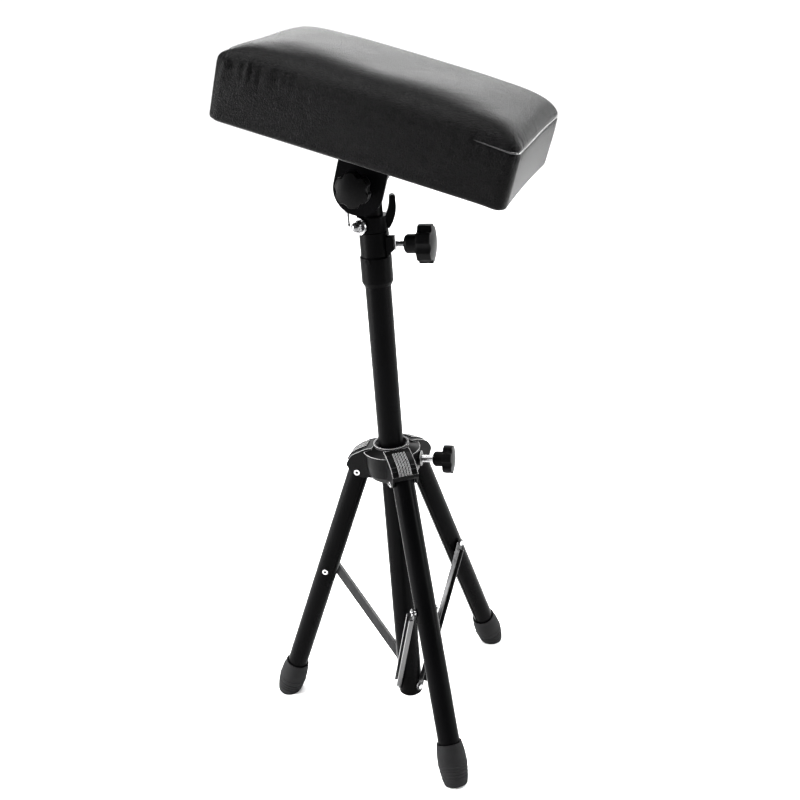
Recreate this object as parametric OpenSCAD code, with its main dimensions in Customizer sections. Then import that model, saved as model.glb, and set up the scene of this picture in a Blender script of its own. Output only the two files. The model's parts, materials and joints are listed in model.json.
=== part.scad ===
// Arm rest stand: a padded rest on a tilting, turning and sliding post with a folding tripod.
// Millimetres, Z up. The origin is the point on the floor under the post's axis.
// The view from the front looks along +Y, with +X to the right.

/* [Post] */
// Outer diameter of the main tube
mast_d = 28; // [26:0.5:31]
// Wall of the main tube
mast_wall = 1.5; // [1.2:0.1:1.8]
// Length of the main tube
mast_len = 550; // [460:1:700]
// Outer diameter of the inner tube
inner_d = 22; // [20:0.5:23]
// Wall of the inner tube
inner_wall = 1.5; // [1:0.1:2]
// Length of the inner tube, up to the middle of the cross tube
inner_len = 400; // [340:1:440]
// How far the cross tube's middle stands above the main tube
head_rise = 56; // [52:0.5:70]

/* [Tripod] */
// Radius of the circle that the three feet stand on
stance_r = 160; // [140:1:200]
// Height of the leg pins above the floor
pivot_z = 319; // [290:1:360]
// Clear space between the main tube and a folded leg
leg_clear = 12; // [11.5:0.5:16]
// Outer diameter of a leg tube
leg_d = 24.5; // [21:0.5:25]
// Wall of a leg tube
leg_wall = 1.4; // [1:0.1:2]
// Width of the open seam along the inner side of a leg tube
seam_w = 2.4; // [1:0.2:4]
// Distance from a leg pin to the brace rivet, along the leg
brace_down = 144.5; // [120:0.5:170]
// Width of a brace's channel section
brace_w = 10; // [9:0.5:12]
// Depth of a brace's channel section
brace_d = 5.5; // [3:0.5:6]
// Sheet thickness of a brace
brace_t = 1.4; // [1:0.1:1.8]
// Length of a rubber foot above the floor, along the leg
foot_len = 47.5; // [40:0.5:55]
// Largest diameter of a rubber foot
foot_d = 33; // [31:0.5:38]
// Direction of the front leg, from +X towards +Y
front_az = -75; // [-90:1:-60]

/* [Base collar] */
// Height of the collar's lower end above the floor
collar_gap = 13; // [8:0.5:20]
// Height of the collar
collar_h = 28; // [26:0.5:36]
// Height of the brace rivets above the collar's lower end
collar_pin_h = 12.7; // [11:0.1:16]

/* [Hub] */
// Wall of the hub's barrel round the main tube
hub_wall = 5.6; // [4:0.1:6.5]
// Wall of a leg channel beside the leg
cheek_wall = 2; // [1.6:0.1:3]
// Radius of the leg pins
pin_r = 3; // [2.5:0.1:3.5]
// Radius of the hub knob's screw
hub_screw_r = 4; // [3:0.25:4.5]
// Diameter of the hub knob
hub_knob_d = 32; // [28:0.5:36]

/* [Clutch sleeve] */
// Length of the sleeve
sleeve_len = 58; // [52:1:70]
// Wall of the sleeve's lower half
sleeve_wall = 2.8; // [2.2:0.1:4]
// Radius of the sleeve knob's screw
sleeve_screw_r = 3; // [2.5:0.25:3.5]
// Diameter of the sleeve knob
sleeve_knob_d = 41; // [36:0.5:44]

/* [Hook collar] */
// Height of the hook collar
hook_h = 16; // [14:0.5:20]
// Wall of the hook collar
hook_wall = 4.4; // [3.5:0.1:5]
// Width of the hook's prong
prong_w = 6.8; // [5:0.1:8]
// Clear gap between the hook's prong and the inner tube
hook_gap = 7; // [6:0.1:9]
// Height of the prong's tip above the collar
prong_rise = 20; // [14:0.5:24]
// Depth of the hook's prong from front to back
prong_depth = 9; // [7:0.5:12]

/* [Tilt bracket] */
// Turn of the head and pad about the post at rest
pad_yaw = -19.5; // [-45:0.1:45]
// Tilt of the pad at rest, right end down
pad_tilt = 17.6; // [-30:0.1:30]
// Sheet thickness of the bracket
bracket_t = 3; // [2.5:0.1:4]
// Clear width between the bracket's cheeks
cheek_gap = 60; // [58:1:80]
// Radius of the front cheek's rounded lower end
cheek_r = 26.5; // [24:0.5:30]
// How far that rounded end is centred below the tilt axis
cheek_drop = 4.8; // [0:0.1:8]
// Half width of the narrow back cheek
back_cheek_r = 12; // [10.5:0.5:20]
// Height of the pad's underside above the tilt axis
pad_rise = 40; // [36:0.5:50]
// Diameter of the cross tube
cross_d = 24; // [23:0.5:28]
// Radius of the tilt bolt
bolt_r = 4; // [3:0.25:5]
// Diameter of the tilt knob
tilt_knob_d = 36; // [33:0.5:42]

/* [Pad] */
// Length of the pad
pad_l = 298; // [250:1:360]
// Width of the pad
pad_w = 210; // [170:1:252]
// How far the pad's middle lies beyond the tilt axis, along the pad
pad_shift = 8; // [0:0.5:15]
// Thickness of the pad at its edge
pad_t = 53.5; // [45:0.5:65]
// How far the crown rises over the edge
pad_crown = 28; // [12:0.5:34]
// Corner radius of the pad, seen from above
pad_corner = 13; // [10:0.5:30]
// Thickness of the base board
board_t = 9; // [6:0.5:12]
// Width of the covered rim round the base board
board_rim = 8; // [6:0.5:12]

/* [Hidden] */
$fn = 64;

// Fits: a running fit, a gap between pieces that slide past each other, a seat within one piece
// group, and the overrun of a cut
run_fit = 0.05;
slide_gap = 0.3;
seat_fit = 0.02;
over = 1;

// Radii
mast_r = mast_d / 2;
mast_bore_r = mast_r - mast_wall;
inner_r = inner_d / 2;
leg_r = leg_d / 2;
foot_r = foot_d / 2;
cross_r = cross_d / 2;

// Heights of the post
collar_top = collar_gap + collar_h;
mast_top = collar_top + mast_len;
sleeve_lip = 2;
sleeve_top = mast_top + sleeve_lip;
sleeve_low = sleeve_top - sleeve_len;
tilt_z = mast_top + head_rise;
inner_low = tilt_z - inner_len;

// Tripod: the leg's lean, the brace's length and lean, and the fold
pivot_r = mast_r + leg_clear + leg_r;
leg_lean = atan((stance_r - pivot_r) / pivot_z);
leg_reach = norm([stance_r - pivot_r, pivot_z]);
leg_tube_end = 15;
leg_tube_len = leg_reach - leg_tube_end;
collar_pin_z = collar_gap + collar_pin_h;
brace_top_r = pivot_r + brace_down * sin(leg_lean);
brace_top_z = pivot_z - brace_down * cos(leg_lean);
brace_len = norm([brace_top_r, brace_top_z - collar_pin_z]);
brace_lean = atan(brace_top_r / (brace_top_z - collar_pin_z));
folded_lean = asin(pivot_r / brace_len);
fold_travel = collar_pin_z + brace_down + brace_len * cos(folded_lean) - pivot_z;
echo(leg_lean = leg_lean, brace_lean = brace_lean, folded_lean = folded_lean);
echo(fold_travel = fold_travel, leg_reach = leg_reach, tilt_z = tilt_z, pivot_r = pivot_r);
leg_az = [front_az, front_az + 120, front_az + 240];
front = 0;
right = 1;
left = 2;

// Brace plane: the web's inner face clears the main tube beside it
brace_y = mast_r + 4 * slide_gap / 3;
brace_rivet_r = 2;
brace_head_r = 3.2;
brace_head_t = 1.4;
brace_tab_len = 8;

// Base collar
collar_boss_r = 5.5;
collar_boss_y = brace_y - slide_gap / 2;
spigot_h = 20;
collar_edge = 2.5;

// Foot: shares of its length and of its swell, from the rim down
foot_rim = 1.6;
foot_seat = 3;
foot_shares = [[0, 0.35], [0.05, 0.45], [0.28, 0.97], [0.48, 1], [0.5, 1.07], [0.52, 1], [0.66, 0.97],
    [0.85, 0.6], [1.02, 0.12], [1.12, -0.3]];
foot_swell = foot_r - leg_r;

// Leg rivet and leg pin heads
head_r = 3.4;
head_t = 1.2;
head_hole_r = 1.6;

// Hub, measured up from the leg pins in leg diameters
chan_w = leg_d + 2 * (cheek_wall + slide_gap);
chan_cut_w = leg_d + 2 * slide_gap;
chan_cut_r = leg_r + 1.5 * slide_gap;
barrel_r = mast_r + hub_wall;
hub_fit_r = mast_r + run_fit;
hub_top_share = 1.31;
bowl_top_share = 1.22;
cheek_low_share = -0.28;
roof_top_share = 1.25;
roof_shares = [[-0.45, 1.17], [-0.05, 0.99], [0.18, 0.86], [0.32, 0.71], [0.46, 0.48], [0.48, 0.34],
    [0.27, -0.06], [-0.2, -0.25]];
bowl_shares = [[0.14, -0.31], [0.26, -0.27], [0.42, 0], [0.46, 0.42], [0.46, 0.93], [0.51, 0.95],
    [0.51, 1.04], [0.3, 1.12], [0, 1.22]];
bowl_cut_shares = [[-0.01, -0.4], [0.15, -0.4], [0.31, 0.02], [0.36, 0.42], [0.36, 0.96],
    [-0.01, 1.12]];
ring_drop = 3.5;
ring_w = 1.4;
hub_knob_rise = 13;
hub_knob_z = pivot_z + hub_knob_rise;
hub_knob_az = front_az + 60;
hub_boss_r = 8.5;
hub_boss_end = 33.8;
rib_count = 5;
rib_pitch = 3.1;
rib_w = 1.6;
rib_h = 1.1;
rib_from_share = -0.47;

// Knobs
stem_edge = 2.4;
knob_lobes = 6;
lobe_cut_share = 0.3;
lobe_at_share = 1.17;
hub_stem_r = 8.6;
hub_stem = 12;
hub_head = 10;
hub_dome = 2.4;
hub_knob_gap = 13.5;
hub_knob_from = hub_boss_end + hub_knob_gap;
sleeve_stem_r = 10.2;
sleeve_stem = 15;
sleeve_head = 14.5;
sleeve_dome = 3.4;
sleeve_knob_gap = 8.6;
tilt_stem_r = 12.5;
tilt_stem = 10.5;
tilt_head = 11.5;
tilt_dome = 4;
screw_grip = 9;
screw_stop = 0.1;

// Clutch sleeve
sleeve_out_r = mast_r + sleeve_wall;
neck_step = 1.2;
sleeve_neck_r = sleeve_out_r - neck_step;
sleeve_edge = 1.8;
sleeve_foot_edge = 4;
neck_h = 25.5;
sleeve_az = front_az + 60;
sleeve_screw_drop = 12.7;
sleeve_screw_z = mast_top - sleeve_screw_drop;
boss_rise = 5.2;
boss_out = sleeve_out_r + boss_rise;
boss_w = 18;
boss_under = 7;
boss_over = 11;
boss_low = sleeve_screw_z - boss_under;
boss_top = sleeve_screw_z + boss_over;
boss_slope = 5;
nut_t = 1.5;
nut_w = 10;
nut_lap = 6;
nut_under = 6.5;
nut_low = sleeve_screw_z - nut_under;
rivet_az = -122;
rivet_under = 4;
rivet_z = sleeve_top - neck_h - rivet_under;
rivet_r = 2;
rivet_head_r = 2.6;
rivet_head_t = 0.8;

// Guide bush on the lower end of the inner tube
bush_h = 26;
bush_lip = 3;

// Head
cheek_in = cheek_gap / 2;
washer_t = 1.5;
washer_r = cross_r - seat_fit;
axial_gap = 0.1;
cross_half = cheek_in - washer_t - axial_gap;

// Hook collar
hook_low = sleeve_top + slide_gap;
hook_top = hook_low + hook_h;
hook_out_r = inner_r + hook_wall;
prong_in = inner_r + hook_gap;
prong_mid = prong_in + prong_w / 2;
prong_tip_z = hook_top + prong_rise;
prong_bend = 10;
prong_out_z = prong_tip_z - prong_bend;
prong_out_r = 40;
prong_in_r = 34;
nut_az = -141;
stud_r = 2.5;
stud_boss = 1.4;
nut_seat = max(hook_out_r + stud_boss, sleeve_neck_r + 4 * slide_gap);
nut_flange_r = 9;
nut_flange_t = 1.8;
nut_hex_r = 6.6;
nut_hex_t = 4;
nut_dome_r = 5.4;
nut_lift = 1;
nut_z = hook_low + nut_hex_r + nut_lift;
lug_w = 11;
lug_out = 5.5;
lug_rise = 12;
bar_lift = 7;
bar_z = hook_top + bar_lift;
bar_screw_r = 2.2;
bar_r = 1.25;
bar_half = 16;
bar_ball_r = 1.8;
bar_reach = 9.7;
bar_x = hook_out_r + bar_reach;
bar_collar_r = 3.2;

// Bracket, board and fasteners
cover_t = 0.8;
plate_top = pad_rise - cover_t;
plate_low = plate_top - bracket_t;
screw_u = 17;
screw_inset = 12;
screw_v = cheek_in - screw_inset;
pad_screw_r = 3;
pad_head_r = 6;
pad_head_t = 2.6;
pad_screw_len = 8;
tee_r = 4.2;
tee_flange_r = 9;
tee_flange_t = 1.2;
board_corner = 14;
board_fit = 0.1;
cover_inset = 14;
bolt_head_t = 5;
bolt_head_r = 7.5;
washer_out_r = 8.5;
knob_seat = cheek_in + bracket_t + washer_t + slide_gap;
insert_r = 5.5;
insert_len = 8;

// Cushion: a rounded outline, and rings of it from the underside to the crown, each a height and
// an inset in shares of the thickness
arc_steps = 6;
long_steps = 12;
short_steps = 8;
side_shares = [[0, 0.056], [0.046, 0.013], [0.15, 0], [0.5, -0.011], [0.85, 0.004],
    [0.935, 0.019], [0.98, 0.044], [1, 0.083]];
crown_shares = [0.98, 0.95, 0.9, 0.83, 0.72, 0.56, 0.36, 0.16];
crown_end_power = 10;
crown_side_power = 4;
crown_inset = side_shares[len(side_shares) - 1][1] * pad_t;
side_draw = 1.6;

// Frames
module at_leg(k) {
    rotate([0, 0, leg_az[k]]) children();
}

// Along a leg: the origin is the leg's pin, +Z runs down the leg and -Y is the brace's side
module leg_frame(k) {
    at_leg(k) translate([pivot_r, 0, pivot_z]) rotate([0, 180 - leg_lean, 0]) children();
}

// Along a brace: the origin is the collar's rivet, +Z runs up the brace
module brace_frame(k) {
    at_leg(k) translate([0, 0, collar_pin_z]) rotate([0, brace_lean, 0]) children();
}

// The head turns with the pad, and its Y axis is the tilt axis
module head_frame() {
    translate([0, 0, tilt_z]) rotate([0, 0, pad_yaw]) children();
}

// The pad's frame: X along the pad, Z square to it, the origin on the tilt axis
module pad_frame() {
    translate([0, 0, tilt_z]) rotate([0, pad_tilt, pad_yaw]) children();
}

// A round bar along Y, from one y to another
module bar_y(from, to, r) {
    translate([0, to, 0]) rotate([90, 0, 0]) cylinder(h = to - from, r = r);
}

// A round bar along X, from one x to another
module bar_x(from, to, r) {
    translate([from, 0, 0]) rotate([0, 90, 0]) cylinder(h = to - from, r = r);
}

module tube(h, r, bore) {
    difference() {
        cylinder(h = h, r = r);
        translate([0, 0, -over]) cylinder(h = h + 2 * over, r = bore);
    }
}

module rounded_plate(l, w, t, corner) {
    linear_extrude(t) union() {
        square([l - 2 * corner, w], center = true);
        square([l, w - 2 * corner], center = true);
        for (x = [-1, 1], y = [-1, 1])
            translate([x * (l / 2 - corner), y * (w / 2 - corner)]) circle(corner);
    }
}

// A lobed knob along +Z: a bevelled stem, a scalloped head and a low dome, bored for its screw
module lobed_knob(d, neck_r, stem, head, dome, bore_r, bore_len) {
    r = d / 2;
    cap_r = (r * r + dome * dome) / (2 * dome);
    difference() {
        union() {
            cylinder(h = stem_edge, r1 = neck_r - stem_edge, r2 = neck_r);
            translate([0, 0, stem_edge]) cylinder(h = stem + over - stem_edge, r = neck_r);
            intersection() {
                translate([0, 0, stem]) linear_extrude(head + dome) difference() {
                    circle(r);
                    for (i = [0 : knob_lobes - 1]) rotate(i * 360 / knob_lobes)
                        translate([r * lobe_at_share, 0]) circle(r * lobe_cut_share);
                }
                translate([0, 0, stem + head + dome - cap_r]) sphere(r = cap_r, $fn = 96);
            }
        }
        translate([0, 0, -over]) cylinder(h = bore_len + over, r = bore_r);
    }
}

// The sleeve knob's side: the origin is where its screw's axis meets the post's
module sleeve_side() {
    rotate([0, 0, sleeve_az]) translate([0, 0, sleeve_screw_z]) children();
}

// Main tube with a hole for the sleeve knob's screw
module main_tube() {
    color("#1c1c1e") difference() {
        translate([0, 0, collar_top]) tube(mast_len, mast_r, mast_bore_r);
        sleeve_side() bar_x(0, mast_r + over, sleeve_screw_r + 2 * slide_gap);
        rotate([0, 0, rivet_az]) translate([0, 0, rivet_z])
            bar_x(mast_bore_r - over, mast_r + over, rivet_r + seat_fit);
    }
}

// Collar that closes the main tube's lower end and carries the three braces
module base_collar() {
    color("#2a2b29") difference() {
        union() {
            translate([0, 0, collar_gap]) cylinder(h = collar_edge, r1 = mast_r - collar_edge, r2 = mast_r);
            translate([0, 0, collar_gap + collar_edge]) cylinder(h = collar_h - collar_edge, r = mast_r);
            translate([0, 0, collar_top - over])
                cylinder(h = spigot_h + over, r = mast_bore_r - seat_fit);
            for (k = [0 : 2]) at_leg(k)
                translate([0, 0, collar_pin_z]) bar_y(-collar_boss_y, 0, collar_boss_r);
        }
        translate([0, 0, collar_top])
            cylinder(h = spigot_h + over, r = mast_bore_r - 2 * mast_wall);
        for (k = [0 : 2]) at_leg(k) translate([0, 0, collar_pin_z])
            bar_y(-mast_r - over, -mast_r / 2, brace_rivet_r + seat_fit);
    }
}

// Rivets that pin the braces to the collar
module base_rivets() {
    color("silver") for (k = [0 : 2]) at_leg(k) translate([0, 0, collar_pin_z]) {
        bar_y(-brace_y - brace_t - axial_gap, -mast_r / 2, brace_rivet_r);
        bar_y(-brace_y - brace_t - axial_gap - brace_head_t, -brace_y - brace_t - axial_gap,
            brace_head_r);
    }
}

// Plastic sleeve fixed on the main tube's top, with the boss of its clamp knob
module clutch_sleeve() {
    color("#141415") difference() {
        union() {
            rotate_extrude() polygon([
                [mast_r - over, sleeve_low],
                [sleeve_out_r - sleeve_edge, sleeve_low],
                [sleeve_out_r, sleeve_low + sleeve_foot_edge],
                [sleeve_out_r, sleeve_top - neck_h - sleeve_edge],
                [sleeve_neck_r, sleeve_top - neck_h],
                [sleeve_neck_r, sleeve_top - sleeve_edge / 3],
                [sleeve_neck_r - sleeve_edge / 3, sleeve_top],
                [mast_r - over, sleeve_top]
            ]);
            rotate([0, 0, sleeve_az]) translate([0, boss_w / 2, 0]) rotate([90, 0, 0])
                linear_extrude(boss_w) polygon([
                    [mast_r, boss_low - boss_slope],
                    [boss_out - boss_slope / 2, boss_low],
                    [boss_out, boss_low + boss_slope / 2],
                    [boss_out, boss_top - nut_t],
                    [mast_r, boss_top - nut_t]
                ]);
            translate([0, 0, mast_top + seat_fit]) tube(sleeve_lip - seat_fit, mast_r, inner_r + run_fit);
        }
        translate([0, 0, sleeve_low - over])
            cylinder(h = mast_top + seat_fit - sleeve_low + over, r = mast_r + seat_fit);
        translate([0, 0, sleeve_low]) cylinder(h = sleeve_len + over, r = inner_r + run_fit);
        sleeve_side() bar_x(0, boss_out + over, sleeve_screw_r + run_fit);
        rotate([0, 0, rivet_az]) translate([0, 0, rivet_z])
            bar_x(mast_r - over, sleeve_out_r + over, rivet_r + seat_fit);
    }
}

// Bent strap nut on the boss, threaded for the sleeve knob
module sleeve_nut() {
    color("silver") difference() {
        rotate([0, 0, sleeve_az]) {
            translate([boss_out, -nut_w / 2, nut_low]) cube([nut_t, nut_w, boss_top - nut_low]);
            translate([boss_out - nut_lap, -nut_w / 2, boss_top - nut_t])
                cube([nut_lap + nut_t, nut_w, nut_t]);
        }
        sleeve_side() bar_x(0, boss_out + nut_t + over, sleeve_screw_r + run_fit);
    }
}

// Rivet that holds the sleeve on the main tube
module sleeve_rivet() {
    color("silver") rotate([0, 0, rivet_az]) translate([0, 0, rivet_z]) {
        bar_x(mast_bore_r, sleeve_out_r, rivet_r);
        bar_x(sleeve_out_r, sleeve_out_r + rivet_head_t, rivet_head_r);
    }
}

function from_pin(shares) = [for (p = shares) [pivot_r + p[0] * leg_d, p[1] * leg_d]];
function from_barrel(shares) = [for (p = shares) [barrel_r + p[0] * leg_d, p[1] * leg_d]];

// Side view of a leg channel's roof and cheeks, with its height counted from the leg pins
module channel_outline() {
    polygon(concat([[barrel_r - over, cheek_low_share * leg_d], [barrel_r - over, roof_top_share * leg_d]],
        from_pin(roof_shares)));
}

// Room for the leg from its rest position to its folded one
module channel_room() {
    translate([pivot_r, 0]) {
        circle(chan_cut_r);
        for (turn = [0 : 0.25 : 1]) rotate(turn * leg_lean)
            translate([-chan_cut_r, -leg_d]) square([2 * chan_cut_r, leg_d]);
    }
}

// Sliding hub: a barrel on the main tube with a funnel at its top, a covered bowl and three leg
// channels
module hub_body() {
    color("#161617") translate([0, 0, pivot_z]) difference() {
        union() {
            translate([0, 0, bowl_shares[0][1] * leg_d])
                cylinder(h = (hub_top_share - bowl_shares[0][1]) * leg_d, r = barrel_r);
            difference() {
                rotate_extrude() polygon(concat([[mast_r, bowl_shares[0][1] * leg_d]],
                    from_barrel(bowl_shares), [[mast_r, bowl_top_share * leg_d]]));
                rotate_extrude() polygon(from_barrel(bowl_cut_shares));
            }
            for (k = [0 : 2]) at_leg(k) {
                translate([0, chan_w / 2, 0]) rotate([90, 0, 0]) linear_extrude(chan_w) channel_outline();
                for (i = [0 : rib_count - 1])
                    translate([0, (i - (rib_count - 1) / 2) * rib_pitch + rib_w / 2, 0])
                        rotate([90, 0, 0]) linear_extrude(rib_w) intersection() {
                            translate([rib_h, rib_h]) channel_outline();
                            translate([pivot_r + rib_from_share * leg_d, leg_r])
                                square([leg_d, leg_d]);
                        }
            }
            rotate([0, 0, hub_knob_az]) translate([0, 0, hub_knob_rise])
                bar_x(mast_r, hub_boss_end, hub_boss_r);
        }
        translate([0, 0, -leg_d]) cylinder(h = 3 * leg_d, r = hub_fit_r);
        rotate_extrude() polygon([
            [0, hub_top_share * leg_d - ring_drop],
            [hub_fit_r, hub_top_share * leg_d - ring_drop],
            [barrel_r - ring_w, hub_top_share * leg_d],
            [barrel_r - ring_w, hub_top_share * leg_d + over],
            [0, hub_top_share * leg_d + over]
        ]);
        for (k = [0 : 2]) at_leg(k) {
            translate([0, chan_cut_w / 2, 0]) rotate([90, 0, 0]) linear_extrude(chan_cut_w) channel_room();
            translate([pivot_r, 0, 0]) bar_y(-chan_w, chan_w, pin_r + seat_fit);
        }
        rotate([0, 0, hub_knob_az]) translate([0, 0, hub_knob_rise])
            bar_x(0, hub_boss_end + over, hub_screw_r + run_fit);
    }
}

// Tubular pins that the legs turn on
module leg_pins() {
    color("silver") for (k = [0 : 2]) at_leg(k) translate([pivot_r, 0, pivot_z]) difference() {
        union() {
            bar_y(-chan_w / 2, chan_w / 2, pin_r);
            bar_y(-chan_w / 2 - head_t, -chan_w / 2, head_r);
            bar_y(chan_w / 2, chan_w / 2 + head_t, head_r);
        }
        bar_y(-chan_w, chan_w, head_hole_r);
    }
}

module hub_knob_frame() {
    rotate([0, 0, hub_knob_az]) translate([0, 0, hub_knob_z]) rotate([0, 90, 0]) children();
}

module hub_knob() {
    color("#121213") hub_knob_frame() translate([0, 0, hub_knob_from])
        lobed_knob(hub_knob_d, hub_stem_r, hub_stem, hub_head, hub_dome, hub_screw_r + seat_fit, screw_grip);
}

module hub_knob_screw() {
    color("silver") hub_knob_frame() translate([0, 0, mast_r + screw_stop])
        cylinder(h = hub_knob_from + screw_grip - seat_fit - mast_r - screw_stop, r = hub_screw_r);
}

// Leg tube with a rounded upper end, an open seam and bores for its pin and rivet
module leg_tube(k) {
    color("#2b2b2d") leg_frame(k) difference() {
        union() {
            cylinder(h = leg_tube_len, r = leg_r);
            intersection() {
                translate([0, 0, -leg_r]) cylinder(h = leg_r + over, r = leg_r);
                bar_y(-leg_r, leg_r, leg_r);
            }
        }
        translate([0, 0, -leg_r - over])
            cylinder(h = leg_tube_len + leg_r + 2 * over, r = leg_r - leg_wall);
        translate([0, -seam_w / 2, -leg_r - over])
            cube([leg_r + over, seam_w, leg_tube_len + leg_r + 2 * over]);
        bar_y(-leg_d, leg_d, pin_r + run_fit);
        translate([0, 0, brace_down]) bar_y(-leg_d, leg_d, pin_r + seat_fit);
    }
}

// Plastic plug that carries the pin inside the leg's upper end
module leg_plug(k) {
    color("#101011") leg_frame(k) difference() {
        intersection() {
            translate([0, 0, -leg_r]) cylinder(h = 2.4 * leg_r, r = leg_r - leg_wall - seat_fit);
            union() {
                bar_y(-leg_r, leg_r, leg_r - leg_wall);
                translate([-leg_r, -leg_r, 0]) cube([leg_d, leg_d, 2 * leg_r]);
            }
        }
        bar_y(-leg_d, leg_d, pin_r + run_fit);
    }
}

function foot_point(p) = [leg_r + p[1] * foot_swell, p[0] * foot_len];

// Barrel-shaped rubber foot, cut flat where it stands on the floor
module leg_foot(k) {
    color("#232324") difference() {
        leg_frame(k) translate([0, 0, leg_reach - foot_len]) difference() {
            rotate_extrude() polygon(concat(
                [[0, 0]], [for (p = foot_shares) foot_point(p)],
                [[0, foot_shares[len(foot_shares) - 1][0] * foot_len]]));
            translate([0, 0, -over])
                cylinder(h = foot_len - leg_tube_end + over + seat_fit, r = leg_r + seat_fit);
            translate([0, 0, -over])
                cylinder(h = foot_seat + over, r1 = leg_r + foot_rim, r2 = leg_r + seat_fit);
        }
        at_leg(k) translate([stance_r - 2 * foot_d, -foot_d, -foot_d])
            cube([4 * foot_d, 2 * foot_d, foot_d]);
    }
}

// Tubular rivet through the leg: its open end faces away from the brace
module leg_rivet(k) {
    color("silver") leg_frame(k) translate([0, 0, brace_down]) difference() {
        union() {
            bar_y(-leg_r, leg_r, pin_r);
            bar_y(leg_r, leg_r + head_t, head_r);
        }
        bar_y(-leg_d, leg_d, head_hole_r);
    }
}

// Brace: a channel that opens outwards, with a round bored end of its web past each flange
module brace(k) {
    color("#4a4b4c") brace_frame(k) difference() {
        union() {
            for (z = [0, brace_len]) translate([0, 0, z]) bar_y(-brace_y - brace_t, -brace_y, brace_w / 2);
            translate([-brace_w / 2, -brace_y - brace_t, 0]) cube([brace_w, brace_t, brace_len]);
            for (x = [-brace_w / 2, brace_w / 2 - brace_t])
                translate([x, -brace_y - brace_d, brace_tab_len])
                    cube([brace_t, brace_d, brace_len - 2 * brace_tab_len]);
        }
        bar_y(-brace_y - brace_d, 0, brace_rivet_r + run_fit);
        translate([0, 0, brace_len]) bar_y(-brace_y - brace_d, 0, brace_rivet_r + seat_fit);
    }
}

// Rivet and spacer at the brace's upper end, against the leg's side
module brace_rivet(k) {
    color("silver") brace_frame(k) translate([0, 0, brace_len]) {
        bar_y(-brace_y - brace_t, -brace_y, brace_rivet_r);
        bar_y(-brace_y - brace_t - brace_head_t, -brace_y - brace_t, brace_head_r);
        bar_y(-brace_y, -leg_r - slide_gap, brace_head_r);
    }
}

module sleeve_knob() {
    color("#121213") sleeve_side() translate([boss_out + nut_t + sleeve_knob_gap, 0, 0]) rotate([0, 90, 0])
        lobed_knob(sleeve_knob_d, sleeve_stem_r, sleeve_stem, sleeve_head, sleeve_dome,
            sleeve_screw_r + seat_fit, screw_grip);
}

module sleeve_knob_screw() {
    color("silver") sleeve_side() bar_x(inner_r + screw_stop,
        boss_out + nut_t + sleeve_knob_gap + screw_grip - seat_fit, sleeve_screw_r);
}

// Bush that guides the inner tube in the main tube
module guide_bush() {
    color("#e6e6e2") difference() {
        translate([0, 0, inner_low - bush_lip]) cylinder(h = bush_h, r = mast_bore_r - run_fit);
        translate([0, 0, inner_low]) cylinder(h = bush_h, r = inner_r + run_fit);
        translate([0, 0, inner_low - bush_lip - over])
            cylinder(h = bush_lip + 2 * over, r = inner_r - 2 * inner_wall);
    }
}

// Inner tube, coped at its top to the cross tube
module inner_tube() {
    color("#18181a") difference() {
        translate([0, 0, inner_low + run_fit]) tube(inner_len, inner_r, inner_r - inner_wall);
        head_frame() bar_y(-cross_d, cross_d, cross_r);
    }
}

// Cross tube welded across the inner tube's top
module cross_tube() {
    color("#18181a") head_frame() difference() {
        bar_y(-cross_half, cross_half, cross_r);
        bar_y(-cheek_gap, cheek_gap, bolt_r + run_fit);
    }
}

// Friction washers between the cross tube and the cheeks
module head_washers() {
    color("#3a3a38") head_frame() for (side = [0, 180]) rotate([0, 0, side]) difference() {
        bar_y(cross_half, cross_half + washer_t, washer_r);
        bar_y(0, cheek_gap, bolt_r + run_fit);
    }
}

// Outline of the hook: two arcs that rise from the collar's side to a round tip
module prong_outline() {
    tip_z = prong_tip_z - prong_w / 2;
    difference() {
        intersection() {
            translate([prong_in + prong_w - prong_out_r, prong_out_z]) circle(prong_out_r);
            translate([inner_r, hook_low + prong_w / 4])
                square([hook_gap + 2 * prong_w, tip_z - hook_low - prong_w / 4]);
        }
        difference() {
            translate([prong_in - prong_in_r, tip_z]) circle(prong_in_r);
            translate([inner_r - over, hook_low - over]) square([prong_w, hook_h + over]);
        }
    }
    translate([prong_mid, tip_z]) circle(prong_w / 2);
}

// Collar on the inner tube with the hook on one side and a clamp lug on the other
module hook_collar() {
    color("#141415") difference() {
        union() {
            translate([0, 0, hook_low]) cylinder(h = hook_h, r = hook_out_r);
            translate([0, prong_depth / 2, 0]) rotate([90, 0, 0])
                linear_extrude(prong_depth) prong_outline();
            translate([-hook_out_r - lug_out + hook_wall, -lug_w / 2, hook_low + hook_h / 2])
                cube([hook_out_r, lug_w, hook_h / 2 + lug_rise]);
            rotate([0, 0, nut_az]) translate([0, 0, nut_z]) bar_x(inner_r, nut_seat, nut_hex_r);
        }
        translate([0, 0, hook_low - over])
            cylinder(h = hook_h + lug_rise + 2 * over, r = inner_r + run_fit);
        rotate([0, 0, nut_az]) translate([0, 0, nut_z]) bar_x(0, nut_seat + over, stud_r + seat_fit);
        translate([0, 0, bar_z]) bar_x(-bar_x, 0, bar_screw_r + run_fit);
    }
}

module clamp_stud() {
    color("silver") rotate([0, 0, nut_az]) translate([0, 0, nut_z])
        bar_x(inner_r + screw_stop, nut_seat + nut_flange_t + nut_hex_t - seat_fit, stud_r);
}

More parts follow.
